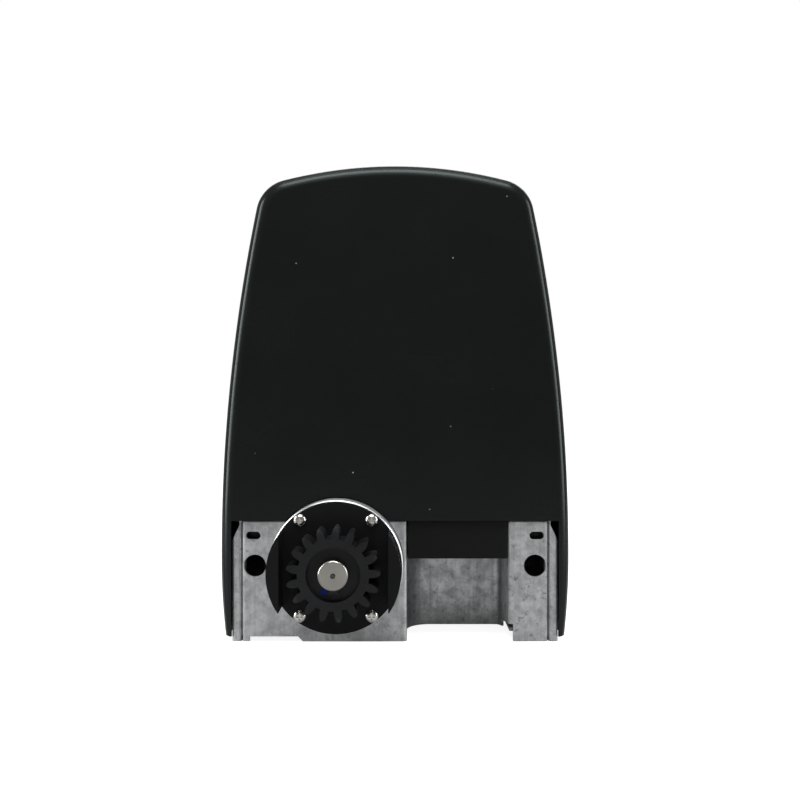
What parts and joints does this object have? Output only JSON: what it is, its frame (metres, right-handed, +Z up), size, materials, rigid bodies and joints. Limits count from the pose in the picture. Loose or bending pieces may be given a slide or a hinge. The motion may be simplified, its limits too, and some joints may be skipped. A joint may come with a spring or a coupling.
{
  "type": "sliding gate motor",
  "caption": "Sliding gate motor: black moulded hood over a folded zinc steel chassis, with a rack pinion and round guard on the gate side.",
  "frame": {"origin": "on the ground, under the middle of the overall width and depth", "axes": "+Z up; the gate and its rack run along X on the -Y side, where the pinion is; the street side, with the release door, faces +Y"},
  "size_m": [0.301, 0.2508, 0.4097],
  "materials": {
    "zinc_sheet": "galvanised sheet, mottled",
    "zinc_fasteners": "bright zinc plate",
    "cast_aluminium": "die cast",
    "machined_steel": "turned and ground",
    "dark_steel": "black oxide",
    "core_steel": "laminated",
    "bronze": "gear bronze",
    "copper_winding": "varnished copper wire",
    "seal_rubber": "nitrile",
    "black_abs": "moulded, satin",
    "black_nylon": "moulded",
    "grey_plastic": "moulded",
    "red_plastic": "moulded",
    "circuit_board": "solder mask",
    "terminal_green": "moulded",
    "relay_blue": "moulded",
    "transformer_core": "varnished laminations",
    "radio_green": "solder mask",
    "capacitor_white": "moulded can",
    "lock_metal": "nickel plate"
  },
  "bodies": {
    "base": {"rear_plate": "zinc_sheet", "recess_sheet": "zinc_sheet", "right_plate": "zinc_sheet", "left_cheek": "zinc_sheet", "right_cheek": "zinc_sheet", "base_pan": "zinc_sheet", "chassis_rivets": "zinc_fasteners", "levelling_screws": "zinc_fasteners", "levelling_nuts": "zinc_fasteners", "gearbox_housing": "cast_aluminium", "gearbox_lid": "cast_aluminium", "front_bearing": "machined_steel", "rear_bearing": "machined_steel", "oil_seal": "seal_rubber", "worm_foot_bearing": "machined_steel", "worm_head_bearing": "machined_steel", "worm_plug": "machined_steel", "gearbox_bolts": "zinc_fasteners", "lid_screws": "zinc_fasteners", "motor_screws": "zinc_fasteners", "pinion_guard": "black_nylon", "guard_screws": "zinc_fasteners", "sensor_housing": "black_nylon", "sensor_screws": "zinc_fasteners", "motor_frame": "cast_aluminium", "stator_core": "core_steel", "stator_windings": "copper_winding", "motor_cap": "cast_aluminium", "motor_bearing": "machined_steel", "motor_cap_screws": "zinc_fasteners", "board_tray": "grey_plastic", "control_board": "circuit_board", "board_screws": "zinc_fasteners", "terminal_blocks": "terminal_green", "board_relays": "relay_blue", "transformer": "transformer_core", "radio_module": "radio_green", "capacitor_clip": "machined_steel", "motor_capacitor": "capacitor_white", "cover_screws": "zinc_fasteners"},
    "output": {"output_shaft": "machined_steel", "pinion": "dark_steel", "pinion_key": "machined_steel", "worm_wheel": "bronze"},
    "clutch": {"clutch_dog": "machined_steel", "clutch_pin": "machined_steel", "release_rod": "machined_steel"},
    "rotor": {"worm_shaft": "machined_steel", "rotor_core": "core_steel"},
    "release": {"release_lever": "red_plastic"},
    "cover": {"cover_shell": "black_abs", "door_hinge_pin": "machined_steel"},
    "door": {"release_door": "black_abs"},
    "lock": {"lock_barrel": "lock_metal"}
  },
  "joints": [
    {"name": "output_spin", "type": "hinge", "parent": "base", "child": "output", "pos_m": [-0.0494, 0, 0.0665], "axis": [0, 1, 0], "continuous": true},
    {"name": "rotor_spin", "type": "hinge", "parent": "base", "child": "rotor", "pos_m": [0, 0.0146, 0.2], "axis": [0, 0, 1], "continuous": true},
    {"name": "release_turn", "type": "hinge", "parent": "base", "child": "release", "pos_m": [-0.0494, 0.0936, 0.0665], "axis": [0, 1, 0], "range_deg": [0, 90]},
    {"name": "clutch_slide", "type": "slide", "parent": "output", "child": "clutch", "axis": [0, 1, 0], "range_m": [0, 0.0065]},
    {"name": "cover_lift", "type": "slide", "parent": "base", "child": "cover", "axis": [0, 0, 1], "range_m": [0, 0.42]},
    {"name": "door_open", "type": "hinge", "parent": "cover", "child": "door", "pos_m": [-0.04, 0.1224, 0.027], "axis": [-1, 0, 0], "range_deg": [0, 105]},
    {"name": "lock_turn", "type": "hinge", "parent": "door", "child": "lock", "pos_m": [-0.04, 0.1191, 0.108], "axis": [0, 1, 0], "range_deg": [0, 90]}
  ],
  "couplings": [
    {"joint": "rotor_spin", "follows": "output_spin", "ratio": 30},
    {"joint": "release_turn", "follows": "clutch_slide", "rad_per_m": 241.66}
  ]
}
